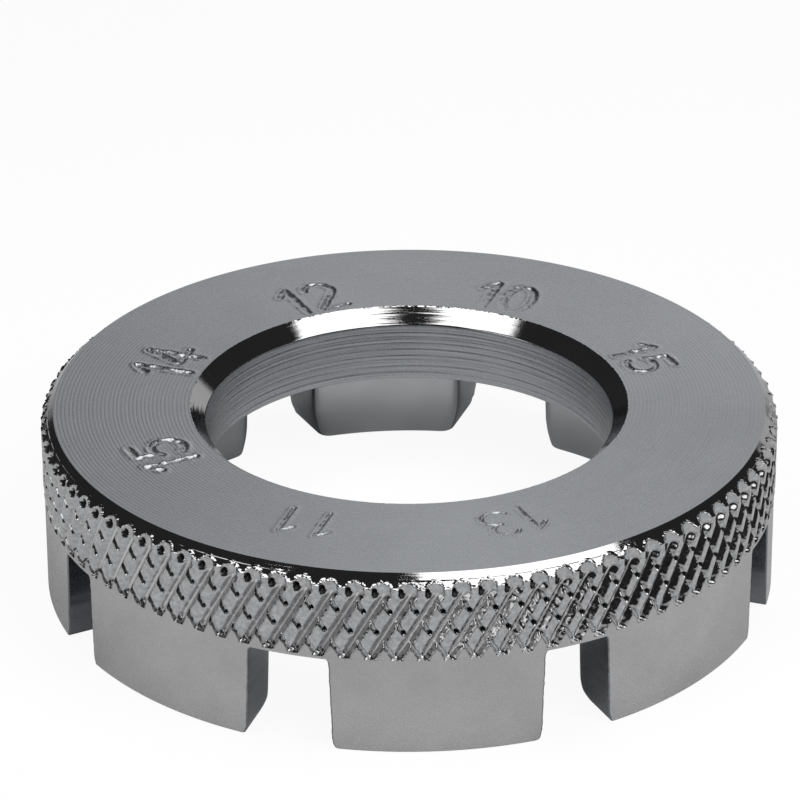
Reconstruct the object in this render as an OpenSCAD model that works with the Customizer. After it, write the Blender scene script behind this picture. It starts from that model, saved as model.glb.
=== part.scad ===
// Round spoke wrench: a knurled steel ring whose skirt is cut by eight slots for spoke nipples.
// Lengths are in millimetres. The feet stand on z = 0, the hole's axis is +Z, slots lie every 45 degrees.

/* [Ring] */
// diameter over the knurled grip
grip_diameter = 53; // [50:0.5:58]
// height from the feet to the top face
total_height = 13.6; // [12.6:0.1:15.6]
// diameter of the hole through the flange
bore_diameter = 29.3; // [24:0.1:32]
// bevel around the top of the hole
bore_bevel = 1.1; // [0.5:0.1:1.6]
// width of the bevel around the top of the grip
grip_bevel = 0.9; // [0.5:0.1:1.2]
// height of the bevel around the top of the grip
grip_bevel_height = 0.9; // [0.6:0.1:1.4]
// thickness of the flange around the hole
flange_thickness = 5.6; // [4.8:0.1:6.2]
// rounding of the lower lip of the hole
lip_radius = 0.3; // [0.2:0.05:1]

/* [Knurl] */
// number of grooves each way around the grip
knurl_count = 92; // [84:1:100]
// depth of the grooves that climb to the right
slash_depth = 0.3; // [0.2:0.05:0.5]
// depth of the grooves that climb to the left
backslash_depth = 0.2; // [0.1:0.05:0.4]
// depth of the arches that the grooves leave in the bevel
arch_depth = 0.4; // [0.2:0.05:0.5]
// turn of the knurl against the slots, in degrees
knurl_turn = 1; // [0:0.1:3.9]
// how far the knurl stands out from the plain skirt
knurl_stand = 0.1; // [0.05:0.05:0.3]
// plain strip between the knurl and the slot ceilings
plain_strip = 0.2; // [0.1:0.05:0.8]
// metal left between the bevelled knurl and the ring body
band_wall = 0.4; // [0.3:0.05:0.8]

/* [Skirt and feet] */
// radial thickness of the skirt
skirt_wall = 4.75; // [4:0.05:5.5]
// rounding between the skirt and the underside of the flange
recess_fillet = 0.6; // [0.2:0.05:0.8]
// rounding of the feet on the inner side
foot_radius = 0.7; // [0.3:0.05:1.5]
// small bevel of the feet on the outer side
foot_bevel = 0.1; // [0.05:0.05:0.4]

/* [Nipple slots] */
// drop from the underside of the flange to the slot ceilings
ceiling_drop = 1; // [0.9:0.1:1.6]
// ceiling width of the slot marked 10
slot_10_width = 6.9; // [6.2:0.1:7.6]
// ceiling width of the slot marked 11
slot_11_width = 5.7; // [5:0.1:6.4]
// ceiling width of the slot marked 12
slot_12_width = 5.4; // [4.7:0.1:6.1]
// ceiling width of the slot marked 13
slot_13_width = 4.7; // [4:0.1:5.4]
// ceiling width of the slot marked 14
slot_14_width = 3.9; // [3.2:0.1:4.6]
// ceiling width of the two slots marked 15
slot_15_width = 3.7; // [3:0.1:4.4]
// ceiling width of the slot without a number
plain_slot_width = 4.2; // [3.5:0.1:4.9]
// lean of each flank, from the ceiling to the mouth
slot_flare = 0.25; // [0:0.05:0.4]
// rounding in the upper corners of the slots
slot_corner = 0.45; // [0.2:0.05:0.8]
// extra opening of each flank at the mouth
mouth_lead = 0.25; // [0.1:0.05:0.4]
// height of the extra opening at the mouth
mouth_lead_height = 0.8; // [0.4:0.1:1.4]

/* [Hidden] */
$fn = 180;
overrun = 1;
slot_count = 8;
slot_step = 360 / slot_count;
slot_widths = [plain_slot_width, slot_15_width, slot_10_width, slot_12_width,
    slot_14_width, slot_15_width, slot_11_width, slot_13_width];
corner_rise_share = 0.85;
rounding_steps = 8;

grip_radius = grip_diameter / 2;
bore_radius = bore_diameter / 2;
skirt_radius = grip_radius - knurl_stand;
hollow_radius = skirt_radius - skirt_wall;
reach = grip_radius + overrun;
core_radius = grip_radius - max(slash_depth, backslash_depth, grip_bevel) - band_wall;
flange_foot = total_height - flange_thickness;
slot_height = flange_foot - ceiling_drop;
knurl_foot = slot_height + plain_strip;
bevel_foot = total_height - grip_bevel_height;

groove_share = 0.27;
columns_per_groove = 4;
knurl_columns = knurl_count * columns_per_groove;
half_rows = 7;
half_step = (bevel_foot - knurl_foot) / half_rows;
crossed_rows = 3;
arch_share = 0.36;
bevel_shares = [0.33, 0.66, 1];
knurl_levels = concat([for (row = [0 : half_rows]) knurl_foot + row * half_step],
    [for (share = bevel_shares) bevel_foot + share * grip_bevel_height]);
last_level = len(knurl_levels) - 1;
ring_starts = last_level + 1;

// Distance from the nearest groove line, as a share of the groove's half width.
function groove_fall(turns, share) = abs(turns - round(turns)) / share;

// Depth of the crossed V grooves, with turns in groove pitches and rise in rows of diamonds.
function groove_depth(turns, rise) = max(0,
    slash_depth * (1 - groove_fall(turns - rise / 2, groove_share)),
    backslash_depth * (1 - groove_fall(turns + rise / 2, groove_share)));

// Depth of the arch that stands above each of the last crossings.
function arch_cut(turns) = max(0, arch_depth * (1 - groove_fall(turns - crossed_rows / 2, arch_share)));

// Depth of the knurl: crossed grooves up to the bevel, then arches.
function knurl_depth(turns, level) = level < bevel_foot
    ? groove_depth(turns, (level - knurl_foot) / half_step / 2)
    : arch_cut(turns);

// Radius of the grip: the knurl, cut back by the bevel near the top face.
function grip_surface(turns, level) = grip_radius - max(knurl_depth(turns, level),
    grip_bevel * max(0, level - bevel_foot) / grip_bevel_height);

// Corner of the band's net, where ring ring_starts and the one above it line the ring body.
function polar_point(radius, column, level) = [
    radius * cos(360 * column / knurl_columns),
    radius * sin(360 * column / knurl_columns),
    level];
function net_index(ring, column) = ring * knurl_columns + column % knurl_columns;

// The two triangles of one cell, split along the groove that crosses it.
function cell_faces(low, high, column, rising) = rising
    ? [[net_index(low, column), net_index(high, column + 1), net_index(low, column + 1)],
       [net_index(low, column), net_index(high, column), net_index(high, column + 1)]]
    : [[net_index(low, column), net_index(high, column), net_index(low, column + 1)],
       [net_index(high, column), net_index(high, column + 1), net_index(low, column + 1)]];
function climbs_right(row, column) = (column + 2 * floor(row / 2)) % columns_per_groove < 2;

// Points on a rounding, from one angle to another about its centre.
function rounding(centre, radius, from, to) = [for (step = [0 : rounding_steps])
    centre + radius * [cos(from + (to - from) * step / rounding_steps),
        sin(from + (to - from) * step / rounding_steps)]];

module flange_profile()
{
    polygon(concat(
        [[bore_radius, total_height - bore_bevel],
            [bore_radius + bore_bevel, total_height],
            [core_radius, total_height],
            [core_radius, knurl_foot],
            [skirt_radius, knurl_foot],
            [skirt_radius, slot_height],
            [hollow_radius, slot_height]],
        rounding([hollow_radius - recess_fillet, flange_foot - recess_fillet], recess_fillet, 0, 90),
        rounding([bore_radius + lip_radius, flange_foot + lip_radius], lip_radius, 270, 180)));
}

module skirt_profile()
{
    polygon(concat(
        [[hollow_radius, slot_height],
            [skirt_radius, slot_height],
            [skirt_radius, foot_bevel],
            [skirt_radius - foot_bevel, 0]],
        rounding([hollow_radius + foot_radius, foot_radius], foot_radius, 270, 180)));
}

// Right half of a slot's outline, seen along the spoke: wide mouth, leaning flank, rounded corner.
function slot_side(width) =
    let (lean = slot_flare / slot_height)
    let (slant = sqrt(1 + lean * lean))
    let (corner_z = slot_height - corner_rise_share * slot_corner)
    let (corner_x = width / 2 + (slot_height - corner_z) * lean - slot_corner * slant)
    let (ceiling_x = corner_x + slot_corner * sqrt(1 - corner_rise_share * corner_rise_share))
    concat(
        [[width / 2 + slot_flare + mouth_lead, -overrun],
            [width / 2 + slot_flare + mouth_lead, 0],
            [width / 2 + (slot_height - mouth_lead_height) * lean, mouth_lead_height]],
        rounding([corner_x, corner_z], slot_corner, atan(lean), asin(corner_rise_share)),
        [[ceiling_x, slot_height + overrun]]);

module slot_profile(width)
{
    side = slot_side(width);
    last = len(side) - 1;
    polygon(concat(side, [for (step = [0 : last]) [-side[last - step][0], side[last - step][1]]]));
}

module slot_cut(number)
{
    rotate([0, 0, number * slot_step])
        rotate([90, 0, 90])
            linear_extrude(reach)
                slot_profile(slot_widths[number % slot_count]);
}

// The wedge between the middle planes of two neighbouring slots.
module jaw_sector(number)
{
    rotate([0, 0, number * slot_step])
        linear_extrude(slot_height)
            polygon([
                [0, 0],
                [reach, 0],
                [reach, reach * tan(slot_step / 2)],
                [reach * cos(slot_step), reach * sin(slot_step)]]);
}

// One jaw: the skirt between slot number and the next slot.
module jaw(number)
{
    difference()
    {
        intersection()
        {
            rotate_extrude()
                skirt_profile();
            jaw_sector(number);
        }
        slot_cut(number);
        slot_cut(number + 1);
    }
}

module ring_body()
{
    color("silver")
        rotate_extrude()
            flange_profile();
}

module knurled_band()
{
    points = concat(
        [for (level = knurl_levels) for (column = [0 : knurl_columns - 1])
            polar_point(grip_surface(column / columns_per_groove, level), column, level)],
        [for (level = [knurl_foot, total_height]) for (column = [0 : knurl_columns - 1])
            polar_point(core_radius, column, level)]);
    columns = [0 : knurl_columns - 1];
    outside = [for (row = [0 : last_level - 1]) for (column = columns)
        each cell_faces(row, row + 1, column, climbs_right(row, column))];
    inside = [for (column = columns) each cell_faces(ring_starts + 1, ring_starts, column, true)];
    foot = [for (column = columns) each cell_faces(ring_starts, 0, column, true)];
    top = [for (column = columns) each cell_faces(last_level, ring_starts + 1, column, true)];
    color("gainsboro")
        rotate([0, 0, knurl_turn])
            polyhedron(points, concat(outside, inside, foot, top));
}

module jaw_plain_15()
{
    color("silver")
        jaw(0);
}

module jaw_15_10()
{
    color("silver")
        jaw(1);
}

module jaw_10_12()
{
    color("silver")
        jaw(2);
}

module jaw_12_14()
{
    color("silver")
        jaw(3);
}

module jaw_14_15()
{
    color("silver")
        jaw(4);
}

module jaw_15_11()
{
    color("silver")
        jaw(5);
}

module jaw_11_13()
{
    color("silver")
        jaw(6);
}

module jaw_13_plain()
{
    color("silver")
        jaw(7);
}

ring_body();
knurled_band();
jaw_plain_15();
jaw_15_10();
jaw_10_12();
jaw_12_14();
jaw_14_15();
jaw_15_11();
jaw_11_13();
jaw_13_plain();
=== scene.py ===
"""Dresses the round spoke wrench: turned and plated ring, diamond knurl, slotted jaws, stamped numbers."""

import math

import bpy
import numpy as np
from mathutils import Matrix, Vector


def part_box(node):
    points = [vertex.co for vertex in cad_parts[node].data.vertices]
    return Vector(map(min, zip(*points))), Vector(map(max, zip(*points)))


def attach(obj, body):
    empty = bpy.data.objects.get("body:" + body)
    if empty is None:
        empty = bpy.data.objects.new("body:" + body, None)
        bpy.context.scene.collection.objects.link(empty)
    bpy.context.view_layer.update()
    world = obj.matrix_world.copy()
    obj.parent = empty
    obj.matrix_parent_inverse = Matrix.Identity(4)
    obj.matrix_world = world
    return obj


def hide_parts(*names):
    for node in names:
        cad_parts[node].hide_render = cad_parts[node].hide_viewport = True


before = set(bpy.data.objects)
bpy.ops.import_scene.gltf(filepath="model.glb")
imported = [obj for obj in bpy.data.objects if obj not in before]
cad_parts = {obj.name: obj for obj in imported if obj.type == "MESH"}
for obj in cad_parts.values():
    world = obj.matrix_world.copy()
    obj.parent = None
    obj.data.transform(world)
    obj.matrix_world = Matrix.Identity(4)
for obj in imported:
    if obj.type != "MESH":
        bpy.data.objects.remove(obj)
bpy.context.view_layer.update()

MM = 0.001
TURN = 2 * math.pi


def node_box_mm(node):
    """Lowest and highest corner of a CAD node, in millimetres."""
    low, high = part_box(node)
    return np.array(low) / MM, np.array(high) / MM


ring_low, ring_high = node_box_mm("ring_body")
band_low, band_high = node_box_mm("knurled_band")

# Sizes of the ring, in millimetres
TOP = ring_high[2]
SLOT_HEIGHT = ring_low[2]
SKIRT_RADIUS = ring_high[0]
SKIRT_WALL = 4.75
HOLLOW_RADIUS = SKIRT_RADIUS - SKIRT_WALL
GRIP_RADIUS = round(band_high[0], 1)
KNURL_FOOT = band_low[2]
GRIP_BEVEL = 0.9
GRIP_BEVEL_FOOT = TOP - GRIP_BEVEL
BAND_WALL = 0.4
CORE_RADIUS = GRIP_RADIUS - GRIP_BEVEL - BAND_WALL
BORE_RADIUS = 14.65
BORE_BEVEL = 1.1
FLANGE_THICKNESS = 5.6
FLANGE_FOOT = TOP - FLANGE_THICKNESS
LIP_RADIUS = 0.3
LIP_FLAT = 0.2
RECESS_FILLET = 0.6

# Turned surfaces: rows and columns of their nets, and ridges as waves along a stretch with their size
EDGE_RAGGED = 0.008
BORE_BEVEL_ROWS = 26
BORE_BEVEL_RIDGES = [(3.6, 0.0012), (8.3, 0.0008), (13.1, 0.0006)]
BORE_ROWS = 64
BORE_RIDGES = [(9, 0.0045), (15.3, 0.0042), (23.7, 0.0028), (34.1, 0.002)]
RING_COLUMNS = 1500
FLAT_ROWS = 120
LIP_STEPS = 8
UNDERSIDE_ROWS = 5
FILLET_STEPS = 6
SHARP_ANGLE = math.radians(38)

# Knurl: main grooves climb to the right, cross grooves to the left, and shares are of the groove pitch
KNURL_COUNT = 92
GROOVE_STEP = TURN / KNURL_COUNT
COLUMNS_PER_GROOVE = 20
BAND_COLUMNS = KNURL_COUNT * COLUMNS_PER_GROOVE
ROWS_PER_DIAMOND = 18
VALLEY_COLUMNS = 1
CROSSED_ROWS = 3
DIAMOND_ROWS = 3.5
KNURL_TURN = math.radians(1.0)
MAIN_DEPTH = 0.48
MAIN_LEFT_SHARE = 0.45
MAIN_LEFT_POWER = 1.7
MAIN_TIP_SHARE = 0.12
MAIN_TIP_RISE = 0.6
MAIN_FLOOR_SHARE = 0.03
MAIN_RIGHT_SHARE = 0.275
MAIN_TOP = 3.25
CROSS_PLACES = [0, 0.12, 0.24, 0.45, 0.56, 0.67, 0.73]
CROSS_DEPTHS = [0.36, 0.35, 0.25, 0.24, 0.3, 0.44, 0]
CROSS_SHARES = [0.18, 0.17, 0.14, 0.13, 0.13, 0.14, 0.14]
CROSS_FLOOR_SHARE = 0.04
LAST_CROSS_PLACE = 0.45
LAST_CROSS_RISE = 0.5
EDGE_CHATTER_SHARE = 0.012
FLANK_FADE_SHARE = 0.06
FLANK_OVERRUN_SHARE = 0.02
FLANK_ROUGHNESS = 0.005
CHATTER = 0.028
CHATTER_PLACE = math.radians(-56)
CHATTER_SPREAD = math.radians(16)
LAND_MOTTLE = 0.003
KNURL_ROUND = 0.02
KNURL_RUNOUT = 0.12
KNURL_STAND_HEIGHT = 0.8
PLAIN_DEPTH = 0.03
# PIT_PLACE and PIT_DEPTH pick the deep ends of the cross grooves that are painted dark as shade
PIT_PLACE = 0.55
PIT_DEPTH = 0.2

# Arches that the grooves leave in the outer bevel, each with a pit at its left and a ragged lip
ARCH_ROWS = 32
ARCH_SHARE = 0.37
ARCH_DEPTH = 0.38
ARCH_DEEPER = 0.2
ARCH_DEEPER_PLACE = math.radians(-8)
ARCH_DEEPER_SPREAD = math.radians(35)
ARCH_START = 2.95
ARCH_RISE = 0.35
ARCH_PIT = 0.28
ARCH_PIT_PLACE = -0.28
ARCH_PIT_SHARE = 0.075
ARCH_PIT_LEVEL = 3.3
ARCH_PIT_RISE = 0.14
# ARCH_PIT_DROP and ARCH_PIT_EDGE bound the near-black colour painted into each arch's pit as shade
ARCH_PIT_DROP = 0.09
ARCH_PIT_EDGE = 0.12
BURR_HEIGHT = 0.11
BURR_WIDTH = 0.09
BURR_RAGGED = 0.6
BURR_MOST = 2.2
BURR_FADE_IN = 0.1
BURR_FADE_OUT = 0.2
BURR_LEFT = 0.6
BURR_MORE_AT_RIGHT = 0.5
BURR_CHANGE_PLACE = -0.1
BURR_CHANGE_SHARE = 0.3
BEVEL_ROUND = 0.1
BEVEL_ROUND_RISE = 0.4
BEVEL_STEP = 0.03
BEVEL_STEP_DROP = 0.42
BEVEL_STEP_WIDTH = 0.03

# Slots from the one on +X round towards +Y: ceiling width, shift in degrees, lead of the mouth, its height
SLOTS = [(4.2, 0.0, 0.25, 0.8), (3.7, 0.0, 0.25, 0.8), (6.6, -0.3, 0.5, 2.4), (5.2, 0.55, 0.45, 2.4),
         (3.9, 0.0, 0.25, 0.8), (3.7, 1.6, 0.25, 0.8), (5.7, 0.4, 0.25, 0.8), (4.7, -0.45, 0.25, 0.8)]
SLOT_STEP = TURN / len(SLOTS)
SLOT_FLARE = 0.25
SLOT_CORNER = 0.45
CORNER_RISE_SHARE = 0.85

# Jaws: each stands between the slot of its own number and the next
JAW_NODES = ["jaw_plain_15", "jaw_15_10", "jaw_10_12", "jaw_12_14",
             "jaw_14_15", "jaw_15_11", "jaw_11_13", "jaw_13_plain"]
FOOT_RADII = [0.3, 0.2, 0.12, 0.2, 0.4, 1.3, 1.0, 1.5]
FOOT_BEVEL = 0.1
FOOT_BREAK = 0.12
INNER_CORNER = 0.8
OUTER_CORNER = 0.12
CORNER_STEPS = 5
FLANK_STEPS = 5
INNER_STEPS = 22
FOOT_ROWS = 12
MIDDLE_ROWS = 22
CEILING_ROWS = 9
FLANK_RAGGED = 0.015

# Stamped numbers: digits, slot, stem's shift, foot's radius, height, stroke's half width and depth, tilt
NUMBERS = [("15", 1, 0.30, 16.7, 3.3, 0.26, 0.085, 0.0), ("10", 2, 0.20, 16.3, 4.3, 0.36, 0.065, 0.75),
           ("12", 3, -0.25, 16.4, 4.2, 0.28, 0.09, 0.0), ("14", 4, -0.80, 16.55, 4.15, 0.32, 0.11, 0.0),
           ("15", 5, -1.05, 17.3, 3.8, 0.30, 0.10, 0.0), ("11", 6, -0.40, 18.0, 3.4, 0.16, 0.06, 0.0),
           ("13", 7, 0.55, 17.9, 3.4, 0.17, 0.06, 0.0)]
DIGIT_WIDTH = 2.1
DIGIT_GAP = 1.15
STEM_SHARE = 0.72
BOW_POINTS = 15
STAMP_REACH = 4.5
STAMP_STEEPNESS = 1.15
STAMP_LIP_SHARE = 0.28
STAMP_LIP_GAP = 0.1
STAMP_LIP_WIDTH = 0.15
STAMP_FLOOR_SHARE = 0.55
STAMP_WEAR = 0.35
STAMP_MOST_FORCE = 2

# Finishes of each piece, in the order of its mesh's material slots
RING_FINISHES = ["face", "bevel", "bore", "hollow", "skirt", "stamp"]
BAND_FINISHES = ["knurl", "bevel", "face", "valley", "skirt", "pit", "steep"]
JAW_FINISHES = ["skirt", "hollow", "flank"]

# Plating: how far its grain moves the roughness, where its gloss spreads, how often its rings break
MASK_LOW = 0.3
MASK_HIGH = 0.7
GLOSSIER = 0.85
DULLER = 1.2
ACROSS_THE_RINGS = 0.25
BREAKS_PER_RADIAN = 2.0

# Camera, fitted to the ellipses of the bore, the flat, the grip and the feet
CAMERA_TURN = math.radians(18.8)
CAMERA_ELEVATION = math.radians(26.875)
CAMERA_DISTANCE = 349.5
CAMERA_YAW = math.radians(-0.107)
CAMERA_PITCH = math.radians(0.008)
CAMERA_ROLL = math.radians(-0.229)
CAMERA_LENS = 218.57
CAMERA_NEAR = 0.01
SENSOR_WIDTH = 36.0

# Softboxes: name, azimuth from the camera's side, elevation, distance and size in metres, roll, brightness
SOFTBOXES = [("softbox_right", 45.8, 49.3, 0.404, (0.327, 0.274), 0.5, 2.2),
             ("softbox_overhead", -56.6, 82.4, 0.152, (0.067, 0.175), -9.3, 2.2)]

# Pale patches of the studio's walls: azimuth from the camera's side, elevation, core, edge, brightness
WALL_PATCHES = [(176, 10, 4, 18, 0.37), (176, 26, 4, 18, 0.37), (176, 42, 4, 18, 0.37),
                (155, 4, 17, 21, 0.5), (-55, 14, 7, 19, 1.5)]

# White paper: shares of it that metal sees, its tones, its half size in metres, its gap under the feet
PAPER_IN_WALLS = 0.025
PAPER_IN_FLOOR = 0.17
FLOOR_WHITE = 0.86
FLOOR_GREY = 0.9
FLOOR_GLOW = 1.08
FLOOR_HALF_SIZE = 2.0
FLOOR_GAP = 0.02

# Shadow of the ring painted into the floor's white: azimuth, distance, core and edge in millimetres, share of
# white that is left
FLOOR_SHADES = [(-139, 18, 7, 12.5, 0.0), (20, 19, 4, 9, 0.2)]


def smooth_max(a, b, rounding):
    """The larger of two heights, with a rounded change from one to the other."""
    return 0.5 * (a + b + np.sqrt((a - b) ** 2 + rounding ** 2))


def smooth_step(value):
    """A soft change from zero to one."""
    value = np.clip(value, 0, 1)
    return value * value * (3 - 2 * value)


def bump_at(angle, place, spread):
    """One at a place on the ring, falling to zero away from it."""
    away = (angle - place + math.pi) % TURN - math.pi
    return np.exp(-(away / spread) ** 2)


def uneven(shape, reach, seed):
    """A field of soft random bumps of unit size that closes round the ring."""
    field = np.random.default_rng(seed).normal(size=shape)
    for _ in range(reach):
        field = field + 0.5 * (np.roll(field, 1, 1) + np.roll(field, -1, 1))
        padded = np.pad(field, ((1, 1), (0, 0)), mode="edge")
        field = field + 0.5 * (padded[:-2] + padded[2:])
    return field / field.std()


def arc_points(centre, radius, start, end, steps):
    """Points on a round stretch of a profile, angles in degrees."""
    angles = np.radians(np.linspace(start, end, steps + 1))
    return [(centre[0] + radius * math.cos(a), centre[1] + radius * math.sin(a)) for a in angles]


def line_points(start, end, steps):
    """Points along a straight stretch of a profile, without its last point."""
    shares = np.arange(steps) / steps
    return [(start[0] + (end[0] - start[0]) * s, start[1] + (end[1] - start[1]) * s) for s in shares]


def ridged_points(start, end, steps, ridges):
    """Points along a turned stretch of a profile, with ridges (count, size) left by the lathe tool."""
    points = np.array(line_points(start, end, steps))
    shares = np.arange(steps) / steps
    points[:, 0] += sum(size * np.cos(TURN * count * shares) for count, size in ridges)
    return [tuple(point) for point in points]


def mesh_object(name, points, faces, materials, face_materials):
    """A smooth-shaded mesh that rides on the tool, its hard corners kept sharp."""
    mesh = bpy.data.meshes.new(name)
    mesh.from_pydata(points * MM, [], faces)
    mesh.polygons.foreach_set("material_index", np.asarray(face_materials, dtype=np.int32))
    mesh.polygons.foreach_set("use_smooth", np.ones(len(mesh.polygons), dtype=bool))
    mesh.set_sharp_from_angle(angle=SHARP_ANGLE)
    for material in materials:
        mesh.materials.append(material)
    piece = bpy.data.objects.new(name, mesh)
    bpy.context.scene.collection.objects.link(piece)
    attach(piece, "root")
    return piece


def closed_net(points, split=False):
    """Faces of a net that closes round the ring and round its section, whole or split along a diagonal."""
    rows, columns = points.shape[:2]
    row = np.arange(rows)[:, None]
    column = np.arange(columns)[None, :]
    after = (column + 1) % columns
    above = (row + 1) % rows
    low_left = row * columns + column
    low_right = row * columns + after
    high_right = above * columns + after
    high_left = above * columns + column
    if not split:
        return np.stack([low_left, low_right, high_right, high_left], axis=-1).reshape(-1, 4)
    lower = np.stack([low_left, low_right, high_left], axis=-1)
    upper = np.stack([low_right, high_right, high_left], axis=-1)
    return np.stack([lower, upper], axis=2).reshape(-1, 3)


def turned_net(profile, columns, start=0.0):
    """A profile of (radius, height) points turned about the tool's axis."""
    section = np.array(profile)
    angles = start + np.linspace(0, TURN, columns, endpoint=False)
    radius = np.repeat(section[:, :1], columns, axis=1)
    height = np.repeat(section[:, 1:], columns, axis=1)
    return np.stack([radius * np.cos(angles), radius * np.sin(angles), height], axis=-1)


def digit_strokes():
    """Centre lines of the digits in a unit box, and a 1 whose stem stands at the left of it."""
    def bow(centre, half_width, half_height, start, end):
        angles = np.radians(np.linspace(start, end, BOW_POINTS))
        return [(centre[0] + half_width * math.cos(a), centre[1] + half_height * math.sin(a)) for a in angles]

    return {
        "0": [bow((0.5, 0.5), 0.5, 0.5, 0, 360)],
        "1": [[(-0.42, 0.76), (-0.2, 0.9), (0.0, 1.0), (0.0, 0.0)]],
        "2": [bow((0.5, 0.72), 0.5, 0.28, 165, -35) + [(0.02, 0.0), (1.0, 0.0)]],
        "3": [bow((0.45, 0.75), 0.42, 0.25, 150, -90), bow((0.45, 0.26), 0.5, 0.26, 90, -150)],
        "4": [[(0.62, 1.0), (0.0, 0.32), (1.1, 0.32)], [(0.68, 1.0), (0.68, 0.0)]],
        "5": [[(0.95, 1.0), (0.2, 1.0), (0.12, 0.56)], bow((0.45, 0.31), 0.55, 0.31, 135, -145)],
    }


def number_strokes(number, size):
    """Centre lines of a whole number, in millimetres from the foot of its first stem."""
    strokes = digit_strokes()
    lines = []
    for place, digit in enumerate(number):
        start = place * (DIGIT_GAP + (DIGIT_WIDTH if digit == "1" else 0) * STEM_SHARE)
        lines += [[(start + x * DIGIT_WIDTH, y * size) for x, y in line] for line in strokes[digit]]
    return lines


def stroke_distance(x, y, lines):
    """Distance from each point to the nearest stroke."""
    nearest = np.full(x.shape, np.inf)
    for line in lines:
        for (x0, y0), (x1, y1) in zip(line[:-1], line[1:]):
            along = (x - x0) * (x1 - x0) + (y - y0) * (y1 - y0)
            share = np.clip(along / ((x1 - x0) ** 2 + (y1 - y0) ** 2), 0, 1)
            gap = np.hypot(x - x0 - share * (x1 - x0), y - y0 - share * (y1 - y0))
            nearest = np.minimum(nearest, gap)
    return nearest


def stamp_numbers(points):
    """Height change of the top face and where its strokes are; a tilted stamp is deeper at its outer end."""
    change = np.zeros(points.shape[:2])
    struck = np.zeros(points.shape[:2], dtype=bool)
    wear = STAMP_WEAR * uneven(points.shape[:2], reach=5, seed=17)
    force = np.clip(1 + wear, 0, STAMP_MOST_FORCE)
    for number, slot, shift, foot, size, half_width, depth, tilt in NUMBERS:
        angle = slot * SLOT_STEP
        outward = points[..., 0] * math.cos(angle) + points[..., 1] * math.sin(angle) - foot
        across = points[..., 0] * math.sin(angle) - points[..., 1] * math.cos(angle) - shift
        near = (abs(across) < STAMP_REACH) & (abs(outward - size / 2) < size)
        gap = stroke_distance(across[near], outward[near], number_strokes(number, size))
        cut = smooth_step(STAMP_STEEPNESS * (1 - gap / half_width))
        lip = STAMP_LIP_SHARE * np.exp(-((gap - half_width - STAMP_LIP_GAP) / STAMP_LIP_WIDTH) ** 2)
        tilted = np.clip(1 + tilt * (2 * outward[near] / size - 1), 0, STAMP_MOST_FORCE)
        change[near] += (lip - cut) * depth * tilted * force[near]
        struck[near] |= gap < STAMP_FLOOR_SHARE * half_width * force[near]
    return change, struck


def ring_profile():
    """Section of the ring body, from the top face through the bore and round the underside."""
    bevel_top = BORE_RADIUS + BORE_BEVEL
    bevel_foot = TOP - BORE_BEVEL
    wall_low = FLANGE_FOOT + LIP_RADIUS
    lip_end = BORE_RADIUS + LIP_RADIUS
    fillet_edge = HOLLOW_RADIUS - RECESS_FILLET
    flat = line_points((CORE_RADIUS, TOP), (bevel_top, TOP), FLAT_ROWS)
    bevel = ridged_points((bevel_top, TOP), (BORE_RADIUS, bevel_foot), BORE_BEVEL_ROWS, BORE_BEVEL_RIDGES)
    wall = ridged_points((BORE_RADIUS, bevel_foot), (BORE_RADIUS, wall_low), BORE_ROWS, BORE_RIDGES)
    lip = arc_points((lip_end, wall_low), LIP_RADIUS, 180, 270, LIP_STEPS)
    under = line_points((lip_end + LIP_FLAT, FLANGE_FOOT), (fillet_edge, FLANGE_FOOT), UNDERSIDE_ROWS)
    fillet = arc_points((fillet_edge, FLANGE_FOOT - RECESS_FILLET), RECESS_FILLET, 90, 0, FILLET_STEPS)
    ceiling = [(HOLLOW_RADIUS, SLOT_HEIGHT)]
    shoulder = [(SKIRT_RADIUS, SLOT_HEIGHT), (SKIRT_RADIUS, KNURL_FOOT), (CORE_RADIUS, KNURL_FOOT)]
    parts = [(flat, "face"), (bevel, "bevel"), (wall + lip + under + fillet, "bore"), (ceiling, "hollow"),
             (shoulder, "skirt")]
    profile = [point for part, _ in parts for point in part]
    slots = [RING_FINISHES.index(finish) for part, finish in parts for _ in part]
    return profile, slots


def make_ring(materials):
    """The turned ring: stamped top face, bevelled bore, underside and upper skirt."""
    profile, slots = ring_profile()
    points = turned_net(profile, RING_COLUMNS)
    change, struck = stamp_numbers(points[:FLAT_ROWS])
    points[:FLAT_ROWS, :, 2] += change
    face_slots = np.repeat(np.array(slots)[:, None], RING_COLUMNS, axis=1)
    face_slots[:FLAT_ROWS][struck] = RING_FINISHES.index("stamp")
    ragged = 1 + EDGE_RAGGED / BORE_RADIUS * uneven((1, RING_COLUMNS), reach=1, seed=13)[0]
    points[FLAT_ROWS, :, :2] *= ragged[:, None]
    faces = closed_net(points)
    piece = mesh_object("ring_body_turned", points.reshape(-1, 3), faces, materials, face_slots.ravel())
    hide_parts("ring_body")


def wrap(turns):
    """Offset from the nearest groove's middle, in groove pitches."""
    return turns - np.round(turns)


def main_groove_cut(offset, edge, rise):
    """Depth of a main groove: gentle left flank, narrow floor, steep right flank."""
    reach = MAIN_TIP_SHARE + (MAIN_LEFT_SHARE - MAIN_TIP_SHARE) * smooth_step(rise / MAIN_TIP_RISE)
    left = np.clip((reach + offset) / (reach - MAIN_FLOOR_SHARE), 0, 1) ** MAIN_LEFT_POWER
    right = np.clip((edge - offset) / (edge - MAIN_FLOOR_SHARE), 0, 1)
    return MAIN_DEPTH * np.where(offset < 0, left, right)


def cross_groove_cut(offset, place):
    """Depth of a cross groove, from its notch in one main groove's steep flank to the pit at its end."""
    depth = np.interp(place, CROSS_PLACES, CROSS_DEPTHS)
    share = np.interp(place, CROSS_PLACES, CROSS_SHARES)
    return depth * np.clip((share - abs(offset)) / (share - CROSS_FLOOR_SHARE), 0, 1)


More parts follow.
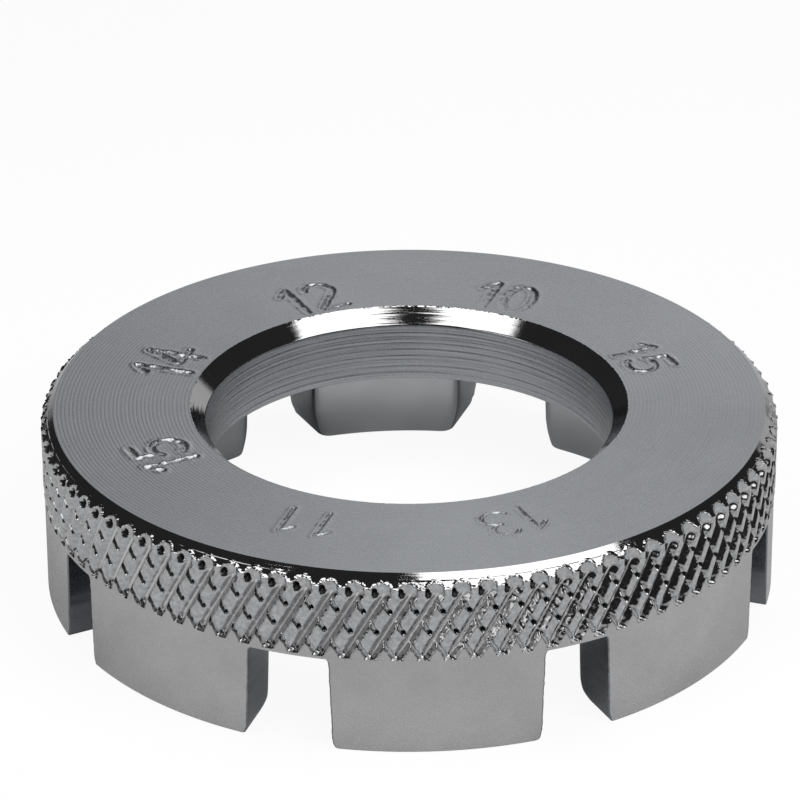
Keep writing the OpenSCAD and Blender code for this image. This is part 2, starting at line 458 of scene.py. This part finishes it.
def arch_cut(offset, rise, angle):
    """Depth of the scoop above each last crossing and of the pit at its left, and where the pit is painted
    dark as shade.
    """
    depth = ARCH_DEPTH + ARCH_DEEPER * bump_at(angle, ARCH_DEEPER_PLACE, ARCH_DEEPER_SPREAD)
    scoop = depth * np.sqrt(np.clip(1 - (offset / ARCH_SHARE) ** 2, 0, 1))
    across = np.exp(-((offset - ARCH_PIT_PLACE) / ARCH_PIT_SHARE) ** 2)
    up = (rise - ARCH_PIT_LEVEL) / ARCH_PIT_RISE
    painted_dark = across * np.exp(-(up + ARCH_PIT_DROP / ARCH_PIT_RISE) ** 2) > ARCH_PIT_EDGE
    return scoop, ARCH_PIT * across * np.exp(-up ** 2), painted_dark


def flank_roughness(from_main, edge, angle):
    """Unevenness of the steep flanks, stronger where the knurling tool chattered."""
    inside = smooth_step((from_main - MAIN_FLOOR_SHARE) / FLANK_FADE_SHARE)
    inside = inside * smooth_step((edge + FLANK_OVERRUN_SHARE - from_main) / FLANK_FADE_SHARE)
    size = FLANK_ROUGHNESS + CHATTER * bump_at(angle, CHATTER_PLACE, CHATTER_SPREAD)
    return size * uneven(edge.shape, reach=1, seed=5) * inside


def knurl_cut(column, rise, angle):
    """Depth of the knurl, where its pits are painted dark as shade, and where its steep flanks get a darker
    colour as painted shade; columns follow main grooves, rises count diamonds.
    """
    shape = (rise.shape[0], column.shape[1])
    crossed = np.minimum(rise, MAIN_TOP)
    from_main = wrap(column)
    edge = MAIN_RIGHT_SHARE + EDGE_CHATTER_SHARE * uneven(shape, reach=1, seed=3)
    at_foot = crossed < LAST_CROSS_RISE
    place = np.where(at_foot, np.minimum(column % 1, LAST_CROSS_PLACE), column % 1)
    cross = cross_groove_cut(wrap(column + crossed), place)
    grooves = smooth_max(main_groove_cut(from_main, edge, rise), cross, KNURL_ROUND)
    grooves = grooves + flank_roughness(from_main, edge, angle)
    arches = smooth_step((rise - ARCH_START) / ARCH_RISE)
    scoop, pit, painted_dark = arch_cut(wrap(column + (crossed - CROSSED_ROWS) / 2), rise, angle)
    cut = (1 - arches) * grooves + arches * (scoop + pit) + LAND_MOTTLE * uneven(shape, reach=2, seed=7)
    # Painted shade: the deep ends of the cross grooves and the arches' pits get a near-black material
    painted_dark_pits = (place > PIT_PLACE) & (cross > PIT_DEPTH) & (rise < CROSSED_ROWS) | painted_dark
    # Painted shade: these steep flanks get a darker copy of the knurl's plating
    steep = (from_main > MAIN_FLOOR_SHARE) & (from_main < edge) & (rise < MAIN_TOP)
    return smooth_max(cut, 0, KNURL_ROUND), painted_dark_pits, steep


def knurl_levels():
    """Heights of the band's rows: the diamonds, then the bevel."""
    diamonds = np.linspace(KNURL_FOOT, GRIP_BEVEL_FOOT, int(DIAMOND_ROWS * ROWS_PER_DIAMOND) + 1)
    return np.concatenate([diamonds[:-1], np.linspace(GRIP_BEVEL_FOOT, TOP, ARCH_ROWS)])


def bevel_radius(height):
    """Radius of the outer bevel at a height, with the faint step that the lathe tool left in it."""
    step = BEVEL_STEP * smooth_step((TOP - BEVEL_STEP_DROP - height) / BEVEL_STEP_WIDTH)
    return GRIP_RADIUS - np.maximum(0, height - GRIP_BEVEL_FOOT) - step * (height > GRIP_BEVEL_FOOT)


def burr(height, turns, from_bevel):
    """Height of the ragged lip where the arches meet the bevel, stronger at the right of each."""
    fade_in = smooth_step((height - GRIP_BEVEL_FOOT) / BURR_FADE_IN + 1)
    fade_out = smooth_step((TOP - BURR_FADE_OUT - height) / BURR_FADE_OUT)
    from_crossing = wrap(turns - CROSSED_ROWS / 2)
    at_right = smooth_step((from_crossing - BURR_CHANGE_PLACE) / BURR_CHANGE_SHARE)
    strength = BURR_LEFT + BURR_MORE_AT_RIGHT * at_right
    ragged = np.clip(1 + BURR_RAGGED * uneven(from_bevel.shape, reach=1, seed=11), 0, BURR_MOST)
    return BURR_HEIGHT * np.exp(-(from_bevel / BURR_WIDTH) ** 2) * (fade_in * fade_out) * strength * ragged


def band_back():
    """The plain wall behind the grip: its two rows start where the grip's ends start."""
    top = turned_net([(CORE_RADIUS, TOP)], BAND_COLUMNS, KNURL_TURN + GROOVE_STEP * MAIN_TOP / 2)
    foot = turned_net([(CORE_RADIUS, KNURL_FOOT)], BAND_COLUMNS, KNURL_TURN)
    return np.concatenate([top, foot])


def band_slots(plain_bevel, plain_skirt, steep, painted_dark_pits):
    """Material slot of each square of the band's net, row by row."""
    slot = BAND_FINISHES.index
    grip = np.where(plain_bevel, slot("bevel"), slot("knurl"))
    valley = (np.arange(BAND_COLUMNS) + VALLEY_COLUMNS) % COLUMNS_PER_GROOVE <= VALLEY_COLUMNS
    grip[-1] = slot("face")
    # Painted highlight: the floors of the main grooves get a brighter material
    grip[:int(MAIN_TOP * ROWS_PER_DIAMOND), valley] = slot("valley")
    grip[plain_skirt] = slot("skirt")
    # Painted shade: the steep flanks get the darker copy of the plating
    grip[steep] = slot("steep")
    # Painted shade: the pits get the near-black material
    grip[painted_dark_pits] = slot("pit")
    back = np.full((2, BAND_COLUMNS), slot("face"))
    return np.concatenate([grip, back])


def make_band(materials):
    """The knurled grip and its bevel, closed behind by a plain wall on the ring body."""
    column = np.arange(BAND_COLUMNS)[None, :] / COLUMNS_PER_GROOVE
    height = knurl_levels()[:, None]
    above_foot = height - KNURL_FOOT
    rise = DIAMOND_ROWS * above_foot / (GRIP_BEVEL_FOOT - KNURL_FOOT)
    turns = column + np.minimum(rise, MAIN_TOP) / 2
    angle = GROOVE_STEP * turns + KNURL_TURN
    cut, painted_dark_pits, steep = knurl_cut(column, rise, angle)
    cut = smooth_step(above_foot / KNURL_RUNOUT) * cut
    stand = SKIRT_RADIUS + (GRIP_RADIUS - SKIRT_RADIUS) * smooth_step(above_foot / KNURL_STAND_HEIGHT)
    knurl = stand - cut
    bevel = bevel_radius(height)
    rounder = smooth_step((height - GRIP_BEVEL_FOOT) / BEVEL_ROUND_RISE + 1)
    rounding = KNURL_ROUND + (BEVEL_ROUND - KNURL_ROUND) * rounder
    lipped = burr(height, turns, knurl - bevel) - smooth_max(-knurl, -bevel, rounding)
    radius = np.minimum(lipped, GRIP_RADIUS)
    heights = np.broadcast_to(height, radius.shape)
    grip = np.stack([radius * np.cos(angle), radius * np.sin(angle), heights], -1)
    points = np.concatenate([grip, band_back()], axis=0)
    plain_bevel = (knurl > bevel) & (height >= GRIP_BEVEL_FOOT)
    plain_skirt = (rise < 1) & (abs(wrap(turns)) > rise / 2) & (cut < PLAIN_DEPTH)
    slots = np.repeat(band_slots(plain_bevel, plain_skirt, steep, painted_dark_pits).ravel(), 2)
    faces = closed_net(points, split=True)
    piece = mesh_object("knurled_band_grip", points.reshape(-1, 3), faces, materials, slots)
    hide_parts("knurled_band")


def half_gap(slot, height):
    """Half the slot's opening at a height: rounded at the ceiling, leaning flank, wider mouth."""
    width, _, lead, lead_height = slot
    lean = SLOT_FLARE / SLOT_HEIGHT
    corner_z = SLOT_HEIGHT - CORNER_RISE_SHARE * SLOT_CORNER
    if height > corner_z:
        corner_x = width / 2 + lean * (SLOT_HEIGHT - corner_z) - SLOT_CORNER
        return corner_x + math.sqrt(SLOT_CORNER ** 2 - (height - corner_z) ** 2)
    mouth = lead * max(0, 1 - height / lead_height) ** 2
    broken = FOOT_BREAK * max(0, 1 - height / FOOT_BREAK) ** 2
    return width / 2 + lean * (SLOT_HEIGHT - height) + mouth + broken


def jaw_levels(foot_radius):
    """Heights of a jaw's rows, closer at the foot and at the ceiling's corner."""
    foot = foot_radius * (1 - np.cos(np.radians(np.linspace(0, 90, FOOT_ROWS))))
    middle = np.linspace(foot_radius, SLOT_HEIGHT - SLOT_CORNER, MIDDLE_ROWS)[1:]
    quarter = np.sin(np.radians(np.linspace(0, 90, CEILING_ROWS)))[1:]
    corner = SLOT_HEIGHT - SLOT_CORNER + SLOT_CORNER * quarter
    return np.concatenate([foot, middle, corner])


def polar(radius, angle):
    """A point in plan."""
    return np.array([radius * math.cos(angle), radius * math.sin(angle)])


def round_corner(before, corner, after):
    """Points of a soft corner in a plan outline, from one side to the other."""
    share = np.linspace(0, 1, CORNER_STEPS + 1)[:, None]
    return (1 - share) ** 2 * before + 2 * share * (1 - share) * corner + share ** 2 * after


def jaw_end(slot_number, side, inner, outer, height, ragged):
    """One end of a jaw in plan: from the skirt round the outer corner, along the flank to the hollow."""
    slot = SLOTS[slot_number % len(SLOTS)]
    middle = slot_number * SLOT_STEP + math.radians(slot[1])
    gap = half_gap(slot, height)
    outer_angle = middle + side * math.asin((gap + ragged) / outer)
    inner_angle = middle + side * math.asin(gap / inner)
    outer_point = polar(outer, outer_angle)
    inner_point = polar(inner, inner_angle)
    inward = (inner_point - outer_point) / np.linalg.norm(inner_point - outer_point)
    start = outer_point + OUTER_CORNER * inward
    end = inner_point - INNER_CORNER * inward
    flank = [start + (end - start) * share for share in np.arange(1, FLANK_STEPS) / FLANK_STEPS]
    skirt_angle = outer_angle + side * OUTER_CORNER / outer
    hollow_angle = inner_angle + side * INNER_CORNER / inner
    outer_curve = round_corner(polar(outer, skirt_angle), outer_point, start)
    inner_curve = round_corner(end, inner_point, polar(inner, hollow_angle))
    return np.concatenate([outer_curve, flank, inner_curve]), skirt_angle, hollow_angle


def jaw_outline(number, height, ragged):
    """Plan of a jaw at a height: its skirt side, and its two ends with the hollow side between them."""
    foot_radius = FOOT_RADII[number]
    fall = max(0, foot_radius - height)
    inner = HOLLOW_RADIUS + foot_radius - math.sqrt(foot_radius ** 2 - fall ** 2)
    outer = SKIRT_RADIUS - max(0, FOOT_BEVEL - height)
    first, skirt_start, hollow_start = jaw_end(number, 1, inner, outer, height, ragged[0])
    last, skirt_end, hollow_end = jaw_end(number + 1, -1, inner, outer, height, ragged[1])
    hollow = [polar(inner, angle) for angle in np.linspace(hollow_start, hollow_end, INNER_STEPS)[1:-1]]
    inside = np.concatenate([first, hollow, last[::-1]])
    skirt = [polar(outer, angle) for angle in np.linspace(skirt_start, skirt_end, len(inside))[1:-1]]
    return np.array(skirt), inside


def jaw_rows(number):
    """Points of a jaw, one closed plan outline for each height."""
    levels = jaw_levels(FOOT_RADII[number])
    ragged = FLANK_RAGGED * np.random.default_rng(number).normal(size=(len(levels), 2))
    rows = []
    for height, edges in zip(levels, ragged):
        skirt, inside = jaw_outline(number, height, edges)
        loop = np.concatenate([inside[:1], skirt, inside[:0:-1]])
        rows.append(np.column_stack([loop, np.full(len(loop), height)]))
    return np.array(rows)


def jaw_caps(index, across):
    """Faces of a jaw's foot and top, laid across from the skirt side to the hollow side."""
    count = index.shape[1]
    near = np.arange(across)
    far = (count - near) % count
    far_after = (far - 1) % count
    foot = np.stack([index[0, near], index[0, far], index[0, far_after], index[0, near + 1]], -1)
    top = np.stack([index[-1, near], index[-1, near + 1], index[-1, far_after], index[-1, far]], -1)
    return [[corner for place, corner in enumerate(face) if corner != face[place - 1]]
            for face in np.concatenate([foot, top]).tolist()]


def jaw_slots(rows, count, across):
    """Material slot of each face of a jaw: its walls row by row, then its foot and its top."""
    slot = JAW_FINISHES.index
    ends = CORNER_STEPS + FLANK_STEPS + CORNER_STEPS // 2
    walls = np.full(count, slot("hollow"))
    walls[:across] = slot("skirt")
    walls[across:across + ends] = slot("flank")
    walls[-ends:] = slot("flank")
    foot = np.full(across, slot("skirt"))
    top = np.full(across, slot("hollow"))
    return np.concatenate([np.tile(walls, rows - 1), foot, top])


def make_jaw(number, materials):
    """One jaw between two slots: skirt outside, hollow inside, milled flanks at its ends in a darker colour
    that is painted shade.
    """
    points = jaw_rows(number)
    rows, count = points.shape[:2]
    across = count // 2
    index = np.arange(rows * count).reshape(rows, count)
    after = np.roll(index, -1, axis=1)
    walls = np.stack([index[:-1], after[:-1], after[1:], index[1:]], -1).reshape(-1, 4)
    faces = walls.tolist() + jaw_caps(index, across)
    name = JAW_NODES[number]
    slots = jaw_slots(rows, count, across)
    piece = mesh_object(name + "_milled", points.reshape(-1, 3), faces, materials, slots)
    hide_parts(name)


def link(tree, source, target):
    """Joins two sockets of a node tree."""
    tree.links.new(source, target)


def add_node(tree, kind, **settings):
    """A shader node with its settings, and the values of its inputs given by name in inputs."""
    inputs = settings.pop("inputs", {})
    made = tree.nodes.new(kind)
    for key, value in settings.items():
        setattr(made, key, value)
    for key, value in inputs.items():
        made.inputs[key].default_value = value
    return made


def math_node(tree, operation, first, second=0.0):
    """A Math node on two sockets or numbers."""
    made = add_node(tree, "ShaderNodeMath", operation=operation)
    for socket, value in zip(made.inputs, (first, second)):
        if isinstance(value, (int, float)):
            socket.default_value = value
        else:
            link(tree, value, socket)
    return made.outputs[0]


def new_group(name, inputs, outputs):
    """A shader node group with float inputs (name, default) and float outputs."""
    tree = bpy.data.node_groups.new(name, "ShaderNodeTree")
    for socket_name, default in inputs:
        socket = tree.interface.new_socket(name=socket_name, in_out="INPUT", socket_type="NodeSocketFloat")
        socket.default_value = default
    for socket_name in outputs:
        tree.interface.new_socket(name=socket_name, in_out="OUTPUT", socket_type="NodeSocketFloat")
    return tree, tree.nodes.new("NodeGroupInput"), tree.nodes.new("NodeGroupOutput")


def turning_group():
    """Marks of the lathe tool: fine rings about the axis that break up along their length."""
    inputs = [("Rings per mm", 3.0), ("Scratches per ring", 1.0), ("Even share", 0.0)]
    tree, given, result = new_group("turning marks", inputs, ["Height"])
    parted = add_node(tree, "ShaderNodeSeparateXYZ")
    link(tree, add_node(tree, "ShaderNodeTexCoord").outputs["Object"], parted.inputs[0])
    x, y, z = parted.outputs
    squares = math_node(tree, "ADD", math_node(tree, "MULTIPLY", x, x), math_node(tree, "MULTIPLY", y, y))
    radius = math_node(tree, "SQRT", squares)
    angle = math_node(tree, "ARCTAN2", y, x)
    rate = math_node(tree, "MULTIPLY", given.outputs["Rings per mm"], 1 / MM)
    fine = math_node(tree, "MULTIPLY", rate, given.outputs["Scratches per ring"])
    along = add_node(tree, "ShaderNodeCombineXYZ")
    link(tree, math_node(tree, "MULTIPLY", radius, fine), along.inputs[0])
    link(tree, math_node(tree, "MULTIPLY", z, fine), along.inputs[1])
    link(tree, math_node(tree, "MULTIPLY", angle, BREAKS_PER_RADIAN), along.inputs[2])
    noise = add_node(tree, "ShaderNodeTexNoise", inputs={"Scale": 1.0, "Detail": 2.0, "Roughness": 0.6})
    link(tree, along.outputs[0], noise.inputs["Vector"])
    turns = math_node(tree, "MULTIPLY", radius, rate)
    wave = math_node(tree, "SINE", math_node(tree, "MULTIPLY", turns, TURN))
    feed = math_node(tree, "ADD", math_node(tree, "MULTIPLY", wave, 0.5), 0.5)
    height = add_node(tree, "ShaderNodeMix")
    link(tree, given.outputs["Even share"], height.inputs["Factor"])
    link(tree, noise.outputs["Fac"], height.inputs["A"])
    link(tree, feed, height.inputs["B"])
    link(tree, height.outputs["Result"], result.inputs["Height"])
    return tree


def patch_group():
    """Soft uneven patches, as plating and handling leave them."""
    tree, given, result = new_group("plating patches", [("Patches per mm", 0.3)], ["Mask"])
    place = add_node(tree, "ShaderNodeTexCoord").outputs["Object"]
    noise = add_node(tree, "ShaderNodeTexNoise", inputs={"Detail": 4.0, "Roughness": 0.55})
    link(tree, place, noise.inputs["Vector"])
    link(tree, math_node(tree, "MULTIPLY", given.outputs["Patches per mm"], 1 / MM), noise.inputs["Scale"])
    link(tree, noise.outputs["Fac"], result.inputs["Mask"])
    return tree


def patch_mask(tree, group, per_mm):
    """Mask of the plating's patches at a given fineness."""
    made = add_node(tree, "ShaderNodeGroup", node_tree=group, inputs={"Patches per mm": per_mm})
    return made.outputs["Mask"]


def plating_colour(tree, colour, shade, strength):
    """Colour of the plating, darker and lighter about its own colour where the shade says."""
    tint = add_node(tree, "ShaderNodeMix", data_type="RGBA")
    tint.inputs["A"].default_value = (*[c * (1 - strength) for c in colour], 1)
    tint.inputs["B"].default_value = (*[min(1, c * (1 + strength)) for c in colour], 1)
    link(tree, shade, tint.inputs["Factor"])
    return tint.outputs["Result"]


def plating_gloss(tree, roughness, mask):
    """Roughness of the plating, a little uneven."""
    limits = {"From Min": MASK_LOW, "From Max": MASK_HIGH,
              "To Min": roughness * GLOSSIER, "To Max": roughness * DULLER}
    gloss = add_node(tree, "ShaderNodeMapRange", inputs=limits)
    link(tree, mask, gloss.inputs["Value"])
    return gloss.outputs["Result"]


def plating_bump(tree, ring_height, ring_depth, grain_height, grain_depth):
    """Normal of the plating over the lathe's rings and its own grain, depths in millimetres."""
    rings = add_node(tree, "ShaderNodeBump", inputs={"Strength": 1.0, "Distance": ring_depth * MM})
    link(tree, ring_height, rings.inputs["Height"])
    grain = add_node(tree, "ShaderNodeBump", inputs={"Strength": 1.0, "Distance": grain_depth * MM})
    link(tree, grain_height, grain.inputs["Height"])
    link(tree, rings.outputs["Normal"], grain.inputs["Normal"])
    return grain.outputs["Normal"]


def plated_material(name, groups, colour, roughness, rings=1.0, ring_depth=0.0, scratches=1.0, even=0.0,
                    grain=9.0, grain_depth=0.003, lines=0.0, patches=0.25, patch_strength=0.15, spread=0.0):
    """Plated steel. Rings, grain and patches are counted per millimetre, and their depths are millimetres.

    Scratches part each ring, even says how regular the rings are, lines is the rings' share in the colour,
    and spread widens the gloss across the rings."""
    material = bpy.data.materials.new(name)
    material.use_nodes = True
    tree = material.node_tree
    shader = tree.nodes["Principled BSDF"]
    shader.inputs["Metallic"].default_value = 1.0
    shader.inputs["Anisotropic"].default_value = spread
    shader.inputs["Anisotropic Rotation"].default_value = ACROSS_THE_RINGS
    marks = {"Rings per mm": rings, "Scratches per ring": scratches, "Even share": even}
    turning = add_node(tree, "ShaderNodeGroup", node_tree=groups["turning"], inputs=marks).outputs["Height"]
    coarse = patch_mask(tree, groups["patches"], patches)
    grains = patch_mask(tree, groups["patches"], grain)
    shade = math_node(tree, "ADD", math_node(tree, "MULTIPLY", turning, lines),
                      math_node(tree, "MULTIPLY", coarse, 1 - lines))
    link(tree, plating_colour(tree, colour, shade, patch_strength), shader.inputs["Base Color"])
    link(tree, plating_gloss(tree, roughness, grains), shader.inputs["Roughness"])
    link(tree, plating_bump(tree, turning, ring_depth, grains, grain_depth), shader.inputs["Normal"])
    return material


def make_materials():
    """The finishes of the tool by their short names."""
    groups = {"turning": turning_group(), "patches": patch_group()}
    return {
        "face": plated_material("turned_top_face", groups, (0.53, 0.55, 0.58), 0.28, rings=3.5,
                                ring_depth=0.014, scratches=5.0, even=0.33, grain_depth=0.002, lines=0.55,
                                spread=0.7),
        "stamp": plated_material("stamped_stroke", groups, (0.62, 0.64, 0.67), 0.4, grain=5.0,
                                 grain_depth=0.02, patches=2.5, patch_strength=0.35),
        "bevel": plated_material("bright_bevel", groups, (0.55, 0.55, 0.55), 0.05, rings=6.0,
                                 ring_depth=0.006, grain=14.0, grain_depth=0.002),
        "bore": plated_material("turned_bore_wall", groups, (0.46, 0.475, 0.5), 0.25, rings=5.0,
                                ring_depth=0.02, lines=0.8, patch_strength=0.25),
        "knurl": plated_material("knurled_grip", groups, (0.56, 0.565, 0.575), 0.18, grain=6.0,
                                 grain_depth=0.006, patches=3.5, patch_strength=0.6),
        # Painted shade: the knurl's plating made darker, standing in for the dark that the steep flanks
        # mirror
        "steep": plated_material("steep_groove_flank_painted_shade", groups, (0.42, 0.42, 0.425), 0.14, grain=6.0,
                                 grain_depth=0.006, patches=3.5, patch_strength=0.6),
        # Painted highlight: a brighter copy of the plating along each main groove's floor
        "valley": plated_material("groove_valley_painted_highlight", groups, (0.75, 0.75, 0.75), 0.2, grain=7.0),
        # Painted shade: near black, standing in for the darkness deep in the pits
        "pit": plated_material("painted_shade_pit", groups, (0.05, 0.05, 0.05), 0.5, grain=7.0),
        "skirt": plated_material("satin_skirt", groups, (0.562, 0.562, 0.568), 0.28, rings=2.0,
                                 ring_depth=0.002, grain=10.0),
        "hollow": plated_material("turned_hollow", groups, (0.54, 0.553, 0.57), 0.22, rings=1.5,
                                  ring_depth=0.004, grain=8.0, grain_depth=0.004),
        # Painted shade: the slot walls' plating made darker, standing in for the shade inside the slots
        "flank": plated_material("milled_flank_painted_shade", groups, (0.24, 0.252, 0.27), 0.24, rings=1.5,
                                 ring_depth=0.006, grain=8.0, grain_depth=0.004),
    }


def aim(eye, target):
    """A matrix that looks from one point to another, level with the floor."""
    forward = (target - eye).normalized()
    return Matrix.Translation(eye) @ forward.to_track_quat("-Z", "Y").to_matrix().to_4x4()


def camera_pose():
    """Where the photograph was taken from, seen from the middle of the top face."""
    forward = Vector((0, math.cos(CAMERA_ELEVATION), -math.sin(CAMERA_ELEVATION)))
    right = Vector((1, 0, 0))
    up = right.cross(forward)
    ahead = forward * math.cos(CAMERA_YAW) * math.cos(CAMERA_PITCH)
    aside = right * math.sin(CAMERA_YAW) * math.cos(CAMERA_PITCH)
    looking = (ahead + aside + up * math.sin(CAMERA_PITCH)).normalized()
    level = looking.cross(Vector((0, 0, 1))).normalized()
    rise = level.cross(looking)
    side = level * math.cos(CAMERA_ROLL) + rise * math.sin(CAMERA_ROLL)
    head = rise * math.cos(CAMERA_ROLL) - level * math.sin(CAMERA_ROLL)
    pose = Matrix((side, head, -looking)).transposed().to_4x4()
    pose.translation = -forward * CAMERA_DISTANCE * MM
    return Matrix.Translation((0, 0, TOP * MM)) @ Matrix.Rotation(CAMERA_TURN, 4, "Z") @ pose


def make_camera():
    """The camera stands where the photograph was taken from."""
    camera = bpy.data.cameras.new("camera")
    camera.sensor_width = SENSOR_WIDTH
    camera.sensor_fit = "HORIZONTAL"
    camera.lens = CAMERA_LENS
    camera.clip_start = CAMERA_NEAR
    holder = bpy.data.objects.new("camera", camera)
    bpy.context.scene.collection.objects.link(holder)
    holder.matrix_world = camera_pose()
    bpy.context.scene.camera = holder


def studio_direction(azimuth, elevation):
    """Unit vector towards a place in the studio, azimuth counted from the camera's side to the right."""
    angle = CAMERA_TURN + math.radians(azimuth)
    height = math.radians(elevation)
    return Vector((math.sin(angle) * math.cos(height), -math.cos(angle) * math.cos(height), math.sin(height)))


def make_softbox(name, azimuth, elevation, distance, size, roll, radiance):
    """A soft light of a given size in metres and brightness, turned towards the tool."""
    top = Vector((0, 0, TOP * MM))
    lamp = bpy.data.lights.new(name, "AREA")
    lamp.shape = "RECTANGLE"
    lamp.size, lamp.size_y = size
    lamp.energy = math.pi * size[0] * size[1] * radiance
    holder = bpy.data.objects.new(name, lamp)
    bpy.context.scene.collection.objects.link(holder)
    pose = aim(top + distance * studio_direction(azimuth, elevation), top)
    holder.matrix_world = pose @ Matrix.Rotation(math.radians(roll), 4, "Z")


def soft_ramp(tree, value, limits):
    """A soft change of brightness along a value, between the limits of a Map Range node."""
    ramp = add_node(tree, "ShaderNodeMapRange", interpolation_type="SMOOTHSTEP", inputs=limits)
    link(tree, value, ramp.inputs["Value"])
    return ramp.outputs["Result"]


def wall_patch(tree, place, azimuth, elevation, core, edge, value):
    """Brightness of a soft round patch of wall, its core and edge in degrees from its middle."""
    along = add_node(tree, "ShaderNodeVectorMath", operation="DOT_PRODUCT")
    along.inputs[1].default_value = studio_direction(azimuth, elevation)
    link(tree, place, along.inputs[0])
    dark = math.cos(math.radians(edge))
    bright = math.cos(math.radians(core))
    return soft_ramp(tree, along.outputs["Value"], {"From Min": dark, "From Max": bright, "To Max": value})


def seen_white(tree, share):
    """How much of the white paper a ray sees: all from the camera, a share of it in metal and glass."""
    path = add_node(tree, "ShaderNodeLightPath")
    mirrored = math_node(tree, "MAXIMUM", path.outputs["Is Glossy Ray"], path.outputs["Is Transmission Ray"])
    dimmed = math_node(tree, "MULTIPLY", mirrored, share)
    return math_node(tree, "MAXIMUM", path.outputs["Is Camera Ray"], dimmed)


def make_world():
    """A dark studio with pale patches of wall, and plain white for the camera."""
    world = bpy.data.worlds.new("studio")
    bpy.context.scene.world = world
    world.use_nodes = True
    tree = world.node_tree
    tree.nodes.clear()
    place = add_node(tree, "ShaderNodeTexCoord").outputs["Generated"]
    light = 0.0
    for patch in WALL_PATCHES:
        light = math_node(tree, "ADD", wall_patch(tree, place, *patch), light)
    walls = add_node(tree, "ShaderNodeBackground")
    link(tree, light, walls.inputs["Color"])
    paper = add_node(tree, "ShaderNodeBackground", inputs={"Color": (1, 1, 1, 1)})
    mix = add_node(tree, "ShaderNodeMixShader")
    link(tree, seen_white(tree, PAPER_IN_WALLS), mix.inputs[0])
    link(tree, walls.outputs[0], mix.inputs[1])
    link(tree, paper.outputs[0], mix.inputs[2])
    out = add_node(tree, "ShaderNodeOutputWorld")
    link(tree, mix.outputs[0], out.inputs["Surface"])


def shaded_share(tree):
    """How much of the paper's white metal sees in the floor: less where the ring's shadow is painted onto it.
    """
    place = add_node(tree, "ShaderNodeTexCoord").outputs["Object"]
    share = PAPER_IN_FLOOR
    for azimuth, distance, core, edge, left in FLOOR_SHADES:
        gap = add_node(tree, "ShaderNodeVectorMath", operation="DISTANCE")
        gap.inputs[1].default_value = distance * MM * studio_direction(azimuth, 0)
        link(tree, place, gap.inputs[0])
        limits = {"From Min": core * MM, "From Max": edge * MM, "To Min": left}
        share = math_node(tree, "MULTIPLY", soft_ramp(tree, gap.outputs["Value"], limits), share)
    return share


def paper_material():
    """White paper: plain to the camera, dimmer in metal, grey to the light that falls on it."""
    material = bpy.data.materials.new("white_paper")
    material.use_nodes = True
    tree = material.node_tree
    tree.nodes.clear()
    paper = add_node(tree, "ShaderNodeBsdfDiffuse", inputs={"Color": (FLOOR_GREY, FLOOR_GREY, FLOOR_GREY, 1)})
    glow = add_node(tree, "ShaderNodeEmission", inputs={"Color": (1, 1, 1, 1), "Strength": FLOOR_GLOW})
    mix = add_node(tree, "ShaderNodeMixShader")
    link(tree, math_node(tree, "MULTIPLY", seen_white(tree, shaded_share(tree)), FLOOR_WHITE), mix.inputs[0])
    link(tree, paper.outputs[0], mix.inputs[1])
    link(tree, glow.outputs[0], mix.inputs[2])
    out = add_node(tree, "ShaderNodeOutputMaterial")
    link(tree, mix.outputs[0], out.inputs["Surface"])
    return material


def make_floor():
    """A sheet of white paper that shows nothing but a faint shadow."""
    size = FLOOR_HALF_SIZE
    corners = [(-size, -size, 0), (size, -size, 0), (size, size, 0), (-size, size, 0)]
    mesh = bpy.data.meshes.new("paper_floor")
    mesh.from_pydata(corners, [], [(0, 1, 2, 3)])
    mesh.materials.append(paper_material())
    floor = bpy.data.objects.new("paper_floor", mesh)
    floor.location.z = -FLOOR_GAP * MM
    bpy.context.scene.collection.objects.link(floor)


def make_studio():
    """Walls, floor, softboxes and camera."""
    make_world()
    make_floor()
    for softbox in SOFTBOXES:
        make_softbox(*softbox)
    make_camera()


materials = make_materials()
make_ring([materials[finish] for finish in RING_FINISHES])
make_band([materials[finish] for finish in BAND_FINISHES])
for jaw_number in range(len(JAW_NODES)):
    make_jaw(jaw_number, [materials[finish] for finish in JAW_FINISHES])
make_studio()
bpy.context.scene.view_settings.view_transform = "Standard"
